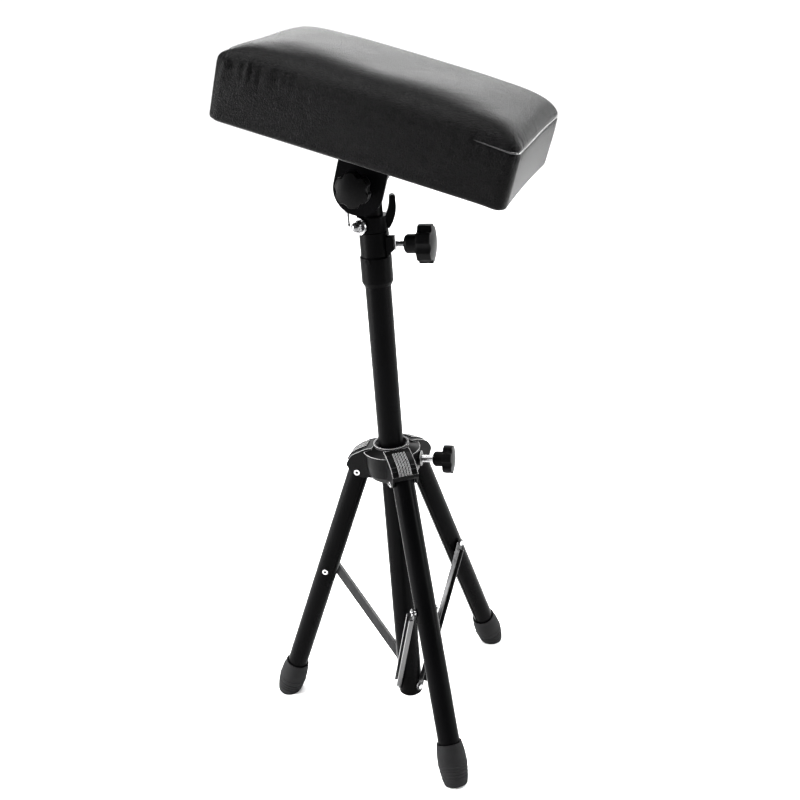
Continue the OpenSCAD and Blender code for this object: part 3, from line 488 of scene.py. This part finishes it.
def star_knob(node, joint, body, stem_radius, stem, dome, bore):
    """Grid of a star knob on a joint's axis, as long and as wide as its CAD node."""
    start, axis = (np.array(joints[joint][key], float) for key in ("pos_m", "axis"))
    points = np.array([v.co for v in nodes[node].data.vertices]) - start
    along = points @ axis
    head_radius = np.linalg.norm(points - along[:, None] * axis, axis=1).max()
    low, high = along.min(), along.max()
    length = high - low
    head_end = length - dome
    edge, columns = 0.0016, 192
    bore_deep, bevel_in, bevel_up, stem_lip = 0.009, 0.0022, 0.0024, 0.0004
    inner_share, under_share = 0.62, 1.0 - 0.02
    round_part = eased([(0, bore_deep, 0), (bore, bore_deep, 0), (bore, 0, 0),
        (stem_radius - bevel_in, 0, 0.0006), (stem_radius, bevel_up, 0.001),
        (stem_radius, stem, 0.0008), (stem_radius + stem_lip, stem, 0.0001)])
    side_part = eased([(inner_share, stem, 0), (under_share, stem, edge / 2),
        (1.0, stem + edge, edge / 2), (1.0, head_end, 0)], steps=7)
    angle = np.linspace(0, 2 * np.pi, columns, endpoint=False)
    outline = lobed(angle) * head_radius
    rows = [np.repeat(round_part[:, :1], columns, axis=1)]
    heights = [np.repeat(round_part[:, 1:], columns, axis=1)]
    rows.append(side_part[:, :1] * outline)
    heights.append(np.repeat(side_part[:, 1:], columns, axis=1))
    lean = np.linspace(0, np.pi / 2, 7)[1:, None]
    rows.append(outline - edge * (1 - np.cos(lean)))
    crest = dome * (1 - ((outline - edge) / head_radius) ** 2)
    heights.append(head_end - edge + np.sin(lean) * (edge + crest * 0.98))
    share = np.linspace(1, 0, 14)[1:, None]
    rows.append((outline - edge) * share)
    heights.append(head_end + dome * (1 - ((outline - edge) * share / head_radius) ** 2))
    radius, height = np.concatenate(rows), np.concatenate(heights)
    first, second, third = axes_along(axis)
    grid = (start + (low + height)[..., None] * third + radius[..., None]
        * (np.cos(angle)[:, None] * first + np.sin(angle)[:, None] * second))
    piece = shell(node + "_star", grid, knob_finish, body)
    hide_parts(node)


knob_finish = material("knob_plastic", knob_plastic)
star_knob("hub_knob", "hub_knob_turn", "hub_clamp", 0.0086, 0.012, 0.0024, 0.00402)
star_knob("sleeve_knob", "sleeve_knob_turn", "sleeve_clamp", 0.0102, 0.015, 0.0034, 0.00302)
star_knob("tilt_knob", "tilt_knob_turn", "tilt_clamp", 0.0125, 0.0105, 0.004, 0.00552)


# Inner fittings
# The guide bush is natural acetal, the friction washers are pressed fibre, and the tilt knob's
# insert is turned brass.
def acetal(root, place):
    cloud = noise(root, place, 90.0, 3.0)
    return {"Base Color": blended(root, cloud, (0.72, 0.72, 0.7), (0.84, 0.84, 0.82)),
        "Roughness": 0.35 + 0.1 * cloud}


def pressed_fibre(root, place):
    flock = noise(root, place, 1400.0, 5.0)
    return {"Base Color": blended(root, flock, (0.02, 0.02, 0.02), (0.07, 0.065, 0.06)),
        "Roughness": 0.7 + 0.2 * flock,
        "Normal": bumped(root, flock, 0.0001)}


def brass(root, place):
    lines = noise(root, place, 1800.0, 3.0)
    return {"Base Color": blended(root, lines, (0.6, 0.42, 0.18), (0.78, 0.6, 0.3)), "Metallic": 1.0,
        "Roughness": 0.2 + 0.2 * lines}


dress(material("acetal", acetal), "guide_bush")
dress(material("pressed_fibre", pressed_fibre), "head_washers")
dress(material("turned_brass", brass), "tilt_knob_insert")


# Base board and dust cover
# Plywood with its grain along the pad, and a thin black felt-like cloth under it that hides all of
# the board but its corners.
def plywood(root, place):
    grain = noise(root, stretched(root, place, (0.12, 1, 1)), 260.0, 5.0)
    return {"Base Color": blended(root, grain, (0.36, 0.22, 0.11), (0.66, 0.48, 0.3)),
        "Roughness": 0.55 + 0.2 * grain, "Normal": bumped(root, grain, 0.0002)}


def felt_cloth(root, place):
    fibres = noise(root, place, 1600.0, 6.0)
    dots = root.node("ShaderNodeTexVoronoi", {"feature": "F1"}, {"Vector": place, "Scale": 700.0},
        "Distance")
    return {"Base Color": blended(root, fibres, (0.006, 0.006, 0.006), (0.028, 0.028, 0.028)),
        "Roughness": 0.85 + 0.1 * fibres, "Normal": bumped(root, fibres + dots, 0.00025)}


dress(material("plywood", plywood), "base_board")
dress(material("felt_cloth", felt_cloth), "dust_cover")


# Pad
# Foam on the board under a cover of black grained synthetic leather: a top panel sewn to a boxing
# strip with a thin welt, pulled round the board's edge and tucked under it.
def leather(root, place):
    """Raised cells with creases between, on soft ripples. The creases are duller, and painted darker as painted
    shade.
    """
    drift = root.node("ShaderNodeTexNoise", {}, {"Vector": place, "Scale": 300.0, "Detail": 2.0}, "Color")
    bent = root.node("ShaderNodeVectorMath", {"operation": "MULTIPLY_ADD"},
        {0: drift, 1: (0.002, 0.002, 0.002), 2: place}, "Vector")
    cells = root.node("ShaderNodeTexVoronoi", {"feature": "DISTANCE_TO_EDGE"},
        {"Vector": bent, "Scale": 430.0}, "Distance")
    raised = root.node("ShaderNodeValToRGB", {"stops": [(0.0, 0.0), (0.12, 0.6), (0.6, 1.0)]},
        {"Fac": cells}, "Color")
    fine = noise(root, place, 1000.0, 3.0)
    ripple = noise(root, place, 70.0, 2.0)
    cloud = noise(root, place, 18.0, 3.0)
    broad = bumped(root, ripple, 0.001, 0.5)
    return {
        # Cells lighter, creases darker: painted shade in the grain's creases, with random tone from the cloud.
        "Base Color": blended(root, raised * (0.6 + 0.4 * cloud), (0.0002, 0.0002, 0.0003),
            (0.001, 0.001, 0.0011)),
        "Roughness": 0.35 - 0.1 * raised + 0.06 * cloud,
        "Specular IOR Level": 0.035,
        "Normal": root.node("ShaderNodeBump", {}, {"Strength": 1.0, "Distance": 0.0009,
            "Height": raised * 0.6 + fine * 0.6, "Normal": broad}, "Normal"),
    }


# The pad's own axes: along it, across it from front to back, and square to it
pad_tilt = math.radians(17.6)
tilt_axis = np.array(joints["pad_tilt"]["pos_m"])
across = np.array(joints["pad_tilt"]["axis"])
level_along = np.cross(across, (0, 0, 1.0))
along = math.cos(pad_tilt) * level_along - math.sin(pad_tilt) * np.array((0, 0, 1.0))
square = np.cross(along, across)
pad_axes = np.stack([along, across, square])
cushion_points = (np.array([v.co for v in nodes["pad_cushion"].data.vertices]) - tilt_axis) @ pad_axes.T
pad_low, pad_high = cushion_points.min(0), cushion_points.max(0)
pad_middle = np.array([(pad_low[0] + pad_high[0]) / 2, 0.0, pad_low[2]])
belly = 0.0006
half_long = (pad_high[0] - pad_low[0]) / 2 - belly
half_wide = (pad_high[1] - pad_low[1]) / 2 - belly
edge_high = 0.0535
crown = 0.0245
foot_inset, corner_radius, side_draw = 0.003, 0.013, 0.0016
hem_thick, hem_inset, board_inset, board_high = 0.0006, 0.0138, 0.0079, 0.0091
soft_roll, tight_roll, soft_lean, tight_lean, soft_lift = 0.013, 0.0032, 0.2, 0.6, 0.0016


def firmness(u):
    """0 along most of the pad and 1 at its right end, where the cover is sewn tight: a smooth step."""
    t = np.clip((u - 0.62) / 0.34, 0, 1)
    return t * t * (3 - 2 * t)


def seam_place(u):
    """Radius and lean of the roll from the side's face up to the seam, and the seam's inset and height.

    All four change smoothly from soft to tight with the firmness at u.
    """
    firm = firmness(u)
    radius = soft_roll + (tight_roll - soft_roll) * firm
    lean = soft_lean + (tight_lean - soft_lean) * firm
    return radius, lean, radius * (1 - np.cos(lean)), edge_high + soft_lift * (1 - firm)


def plan(u, v, inset):
    """Point of a rectangle with round corners for u and v from -1 to 1.

    The corner squares are bent into quarter discs, and each side is drawn in at its middle by a
    half sine.
    """
    a, b = half_long - inset, half_wide - inset
    r = corner_radius - inset / 2
    x, y = u * a, v * b
    s = np.clip((np.abs(x) - (a - r)) / r, 0, 1)
    t = np.clip((np.abs(y) - (b - r)) / r, 0, 1)
    x = np.where((s > 0) & (t > 0), np.sign(x) * (a - r + r * s * np.sqrt(1 - t * t / 2)), x)
    y = np.where((s > 0) & (t > 0), np.sign(y) * (b - r + r * t * np.sqrt(1 - s * s / 2)), y)
    x = x - np.sign(u) * np.abs(u) ** 6 * side_draw * np.cos(np.pi / 2 * v)
    y = y - np.sign(v) * np.abs(v) ** 6 * side_draw * np.cos(np.pi / 2 * u)
    return x, y


def crowned(u, v):
    """Height of the top, which is level in the middle and round at its shoulders.

    It rises from the seam by the root of 1 - u^8 times the root of 1 - v^6.
    """
    seam_high = seam_place(u)[3]
    return seam_high + (crown + edge_high - seam_high) * np.sqrt(
        np.maximum(1 - np.abs(u) ** 8, 0) * np.maximum(1 - np.abs(v) ** 6, 0))


def side_inset(height):
    """How far the side lies inside the outline: it rolls in at the foot and bulges between."""
    share = height / edge_high
    return foot_inset * np.exp(-height / 0.0012) - belly * 4 * share * np.maximum(1 - share, 0)


def cover(columns_long, columns_wide, side_rows, pocket):
    """Points and faces of the closed cover in the pad's axes, and the numbers of the seam's points.

    The top is a grid over u and v. Its border goes on round the roll and down the side, row by row,
    and under the board. A second grid closes the underside.
    """
    crowding = 1.5
    u = np.sin(np.linspace(-1, 1, columns_long) * crowding) / math.sin(crowding)
    v = np.sin(np.linspace(-1, 1, columns_wide) * crowding) / math.sin(crowding)
    uu, vv = np.meshgrid(u, v, indexing="ij")
    x, y = plan(uu, vv, seam_place(uu)[2])
    top = np.stack([x, y, crowned(uu, vv)], axis=-1)
    ids = np.arange(columns_long * columns_wide).reshape(columns_long, columns_wide)
    border = np.concatenate([ids[:-1, 0], ids[-1, :-1], ids[:0:-1, -1], ids[0, :0:-1]])
    bu, bv = uu.ravel()[border], vv.ravel()[border]
    radius, lean, _, seam_high = seam_place(bu)
    roll_rows = side_rows // 4
    rows = []
    for share in np.linspace(1, 0, roll_rows + 1)[1:]:
        high = seam_high - radius * (np.sin(lean) - np.sin(share * lean))
        rows.append((radius * (1 - np.cos(share * lean)) + side_inset(high), high))
    roll_foot = seam_high - radius * np.sin(lean)
    for share in np.linspace(1, 0, side_rows - roll_rows + 1)[1:]:
        rows.append((side_inset(roll_foot * share), roll_foot * share))
    if pocket:
        rows += [(inset, np.full(len(bu), high)) for inset, high in [
            (0.0045, -0.6 * hem_thick), (0.006, -hem_thick), (hem_inset, -hem_thick),
            (hem_inset, -0.00005), (board_inset, -0.00005), (board_inset, board_high)]]
    ring = np.stack([np.stack([*plan(bu, bv, inset), high], axis=-1) for inset, high in rows])
    inset, high = rows[-1]
    x, y = plan(uu, vv, inset if pocket else foot_inset)
    base = np.stack([x, y, np.full(x.shape, high[0])], axis=-1)
    points = np.concatenate([top.reshape(-1, 3), ring.reshape(-1, 3), base.reshape(-1, 3)])
    rings = np.concatenate([border[None], ids.size + np.arange(ring.shape[0] * len(border)).reshape(
        ring.shape[0], -1)])
    base_ids = ids + ids.size + ring.shape[0] * len(border)
    rings[-1] = base_ids.ravel()[border]
    rings = np.concatenate([rings, rings[:, :1]], axis=1)
    side = np.stack([rings[:-1, :-1], rings[1:, :-1], rings[1:, 1:], rings[:-1, 1:]], axis=-1)
    over = np.stack([ids[:-1, :-1], ids[1:, :-1], ids[1:, 1:], ids[:-1, 1:]], axis=-1)
    under = np.stack([base_ids[:-1, :-1], base_ids[:-1, 1:], base_ids[1:, 1:], base_ids[1:, :-1]],
        axis=-1)
    faces = np.concatenate([over.reshape(-1, 4), side.reshape(-1, 4), under.reshape(-1, 4)])
    return points, faces, border


def mesh_object(name, points, faces):
    """A linked object from arrays of points and faces, without its unused points."""
    used, renumbered = np.unique(faces, return_inverse=True)
    mesh = bpy.data.meshes.new(name)
    mesh.from_pydata(points[used], [], renumbered.reshape(faces.shape).tolist())
    mesh.polygons.foreach_set("use_smooth", np.ones(len(mesh.polygons), bool))
    made = bpy.data.objects.new(name, mesh)
    bpy.context.scene.collection.objects.link(made)
    return made


def coordinates(mesh):
    """A mesh's points as an array."""
    values = np.empty(len(mesh.vertices) * 3, np.float32)
    mesh.vertices.foreach_get("co", values)
    return values.reshape(-1, 3).astype(float)


def outward(mesh):
    """The unit normals of a mesh's points as an array."""
    values = np.empty(len(mesh.vertices) * 3, np.float32)
    mesh.vertex_normals.foreach_get("vector", values)
    return values.reshape(-1, 3).astype(float)


def evened(values, mesh, rounds):
    """A value at each point of a mesh, made the mean of its neighbours' values again and again."""
    ends = np.empty(len(mesh.edges) * 2, np.int32)
    mesh.edges.foreach_get("vertices", ends)
    first, second = ends.reshape(-1, 2).T
    count = np.bincount(ends, minlength=len(values))
    for _ in range(rounds):
        values = (np.bincount(first, values[second], len(values))
            + np.bincount(second, values[first], len(values))) / count
    return values


def evaluated(item):
    """A copy of an object's mesh as its modifiers leave it."""
    bpy.context.view_layer.update()
    return bpy.data.meshes.new_from_object(item.evaluated_get(bpy.context.evaluated_depsgraph_get()))


def inflated(start):
    """The cover blown up as cloth from inside, with its foot held by the board and its seam tight.

    A point may move by at most the cap. The right end's seam holds more than the rest.
    """
    voxel, pressure, last_frame, cap = 0.005, 4.0, 20, 0.004
    remesh = start.modifiers.new("remesh", "REMESH")
    remesh.mode, remesh.voxel_size = "VOXEL", voxel
    balloon = bpy.data.objects.new("balloon", evaluated(start))
    bpy.context.scene.collection.objects.link(balloon)
    rest = coordinates(balloon.data)
    u = rest[:, 0] / half_long
    _, _, inset, seam_high = seam_place(u)
    gap = np.minimum(half_long - np.abs(rest[:, 0]), half_wide - np.abs(rest[:, 1]))
    to_seam = np.hypot(gap - inset, rest[:, 2] - seam_high)
    hold_reach, seam_full, foot_full, loose, firmer = 0.008, 1.3, 1.6, 0.45, 0.55
    hold = np.clip(seam_full - to_seam / hold_reach, 0, 1) * (loose + firmer * firmness(u))
    hold = np.maximum(hold, np.clip(foot_full - rest[:, 2] / hold_reach, 0, 1))
    pins = balloon.vertex_groups.new(name="held")
    for weight in np.unique(np.round(hold, 1)):
        pins.add(np.flatnonzero(np.round(hold, 1) == weight).tolist(), float(weight), "REPLACE")
    cloth = balloon.modifiers.new("cloth", "CLOTH")
    cloth.settings.use_pressure = True
    cloth.settings.uniform_pressure_force = pressure
    cloth.settings.vertex_group_mass = "held"
    cloth.settings.effector_weights.gravity = 0.0
    cloth.point_cache.frame_start, cloth.point_cache.frame_end = 1, last_frame
    for step in range(1, last_frame + 1):
        bpy.context.scene.frame_set(step)
    moved = coordinates(evaluated(balloon)) - rest
    length = np.maximum(np.linalg.norm(moved, axis=1, keepdims=True), 1e-9)
    shape = rest + moved * np.minimum(1.0, cap / length)
    bpy.context.scene.frame_set(1)
    balloon.modifiers.clear()
    balloon.data.vertices.foreach_set("co", shape.astype(np.float32).ravel())
    smooth = balloon.modifiers.new("smooth", "SMOOTH")
    smooth.factor, smooth.iterations = 0.5, 2
    balloon.modifiers.new("subdivide", "SUBSURF").levels = 1
    return balloon


cushion_grid, start_grid = (201, 111, 44), (61, 43, 12)
points, faces, border = cover(*cushion_grid, True)
cushion = mesh_object("cushion", points, faces)
flat_places = coordinates(cushion.data)
shrink, most_in, most_out, rounds = 0.0005, 0.0006, 0.003, 40
free_from, free_rise = 0.003, 0.006
start_points, start_faces, _ = cover(*start_grid, False)
start_points = start_points * (1 - shrink / np.array([half_long, half_wide, edge_high]))
start = mesh_object("start", start_points, start_faces)
balloon = inflated(start)
free = cushion.vertex_groups.new(name="free")
weight = np.clip((flat_places[:, 2] - free_from) / free_rise, 0, 1)
for value in np.unique(np.round(weight, 1)):
    free.add(np.flatnonzero(np.round(weight, 1) == value).tolist(), float(value), "REPLACE")
wrap = cushion.modifiers.new("wrap", "SHRINKWRAP")
wrap.target, wrap.vertex_group, wrap.wrap_method = balloon, "free", "PROJECT"
wrap.use_negative_direction, wrap.project_limit = True, 0.01
relax = cushion.modifiers.new("relax", "SMOOTH")
relax.vertex_group, relax.factor, relax.iterations = "free", 0.5, 3
swell = ((coordinates(evaluated(cushion)) - flat_places) * outward(cushion.data)).sum(1)
swell = np.where(swell < 0, most_in * np.tanh(swell / most_in), most_out * np.tanh(swell / most_out))
swell = evened(swell, cushion.data, rounds)
swollen = flat_places + swell[:, None] * outward(cushion.data)
cushion.modifiers.clear()
cushion.vertex_groups.clear()
cushion.data.vertices.foreach_set("co", swollen.astype(np.float32).ravel())
cushion.data.update()
for spare in (start, balloon):
    bpy.data.objects.remove(spare)

# Gathers by the sewn corners and along the front seam, most at the left, a seam that is drawn in only
# near the right end, and the thick folded corner under that end
shape, normal = coordinates(cushion.data), outward(cushion.data)
x, y, z = flat_places.T
firm = firmness(x / half_long)
_, _, seam_gap, seam_high = seam_place(x / half_long)
from_seam = np.hypot(np.minimum(half_long - np.abs(x), half_wide - np.abs(y)) - seam_gap, z - seam_high)
to_corner = np.hypot(half_long - np.abs(x), half_wide - np.abs(y))
left_long, upper = 1.8, 0.01
to_left = np.hypot((half_long + x) / left_long, half_wide + y)
run = np.where(half_long - np.abs(x) < half_wide - np.abs(y), y, x)
short_wave, middle_wave, slow_wave, wander = 0.0017, 0.0031, 0.006, 1.5
pucker = (np.sin(run / short_wave + wander * np.sin(run / slow_wave)) * 0.6
    + np.sin(run / middle_wave + 1.0) * 0.4)
gather_reach, tight_reach, corner_reach = 0.012, 0.003, 0.04
reach = np.exp(-(from_seam / gather_reach) ** 2) * (
    1 - firm * np.exp(-(from_seam / tight_reach) ** 2))
along_seam, by_corners, by_left = 0.0002, 0.0004, 0.0006
strength = (along_seam + by_corners * np.exp(-(to_corner / corner_reach) ** 2)
    + by_left * np.exp(-(to_left / corner_reach) ** 2))
sag_deep, sag_long, sag_wide, sag_from, sag_rise = 0.0006, 0.019, 0.023, 0.4, 0.02
sag = sag_deep * np.sin(x / sag_long + 2.0) * np.sin(y / sag_wide) * np.clip(
    (z - sag_from * edge_high) / sag_rise, 0, 1)
bump = pucker * reach * strength * (z > upper) + sag
seam_least, seam_deep, seam_wide = 0.0001, 0.0013, 0.0018
groove = (-seam_least - seam_deep * firm) * np.exp(-(from_seam / seam_wide) ** 2) * (z > upper)
shape += (bump + groove)[:, None] * normal
fold_drop, fold_reach, fold_high, fold_low = 0.0016, 0.014, 0.02, -0.001
fold = np.hypot(half_long - x, half_wide + y)
shape[:, 2] -= fold_drop * np.exp(-(fold / fold_reach) ** 2) * np.clip(1 - z / fold_high, 0, 1) * (
    z < fold_high) * (z > fold_low)
seam_line, seam_normal, seam_firm = shape[border], normal[border], firm[border, None]
shape = tilt_axis + (shape + pad_middle) @ pad_axes
cushion.data.vertices.foreach_set("co", shape.astype(np.float32).ravel())
cushion.data.update()
leather_finish = material("black_leather", leather)
cushion.data.materials.clear()
cushion.data.materials.append(leather_finish)
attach(cushion, "pad")
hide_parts("pad_cushion")


# Welt
# A thin cord under a folded strip of the same leather, sewn in between the top panel and the boxing.
# It shows at the right end, and along the rest of the pad the foam swells over it.
def welt_strip(root, place):
    """The folded strip, stretched smooth over its cord, so it is glossier than the panels. Its colour is also
    lighter than the panels', a painted highlight along the seam.
    """
    rubbed = noise(root, place, 120.0, 3.0)
    # Lighter than the panels' leather: a painted highlight along the seam; the gloss is its own.
    return {"Base Color": blended(root, rubbed, (0.004, 0.004, 0.0042), (0.012, 0.012, 0.0125)),
        "Roughness": 0.2 + 0.12 * rubbed, "Specular IOR Level": 0.6}


welt_thin, welt_thick, welt_columns = 0.0004, 0.001, 10
forward = np.roll(seam_line, -1, axis=0) - np.roll(seam_line, 1, axis=0)
forward /= np.linalg.norm(forward, axis=1, keepdims=True)
sideways = np.cross(forward, seam_normal)
sideways /= np.linalg.norm(sideways, axis=1, keepdims=True)
proud = np.cross(sideways, forward)
ring = np.linspace(0, 2 * np.pi, welt_columns, endpoint=False)
welt_radius = welt_thin + (welt_thick - welt_thin) * seam_firm
welt_lift, welt_sunk = 0.001, 0.0006
welt = ((seam_line + (welt_lift * seam_firm - welt_sunk) * proud)[:, None] + welt_radius[:, None] * (
    np.cos(ring)[None, :, None] * sideways[:, None] + np.sin(ring)[None, :, None] * proud[:, None]))
welt = tilt_axis + (welt + pad_middle) @ pad_axes
welt = np.concatenate([welt, welt[:1]])
shell("welt", welt, material("welt_strip", welt_strip), "pad")
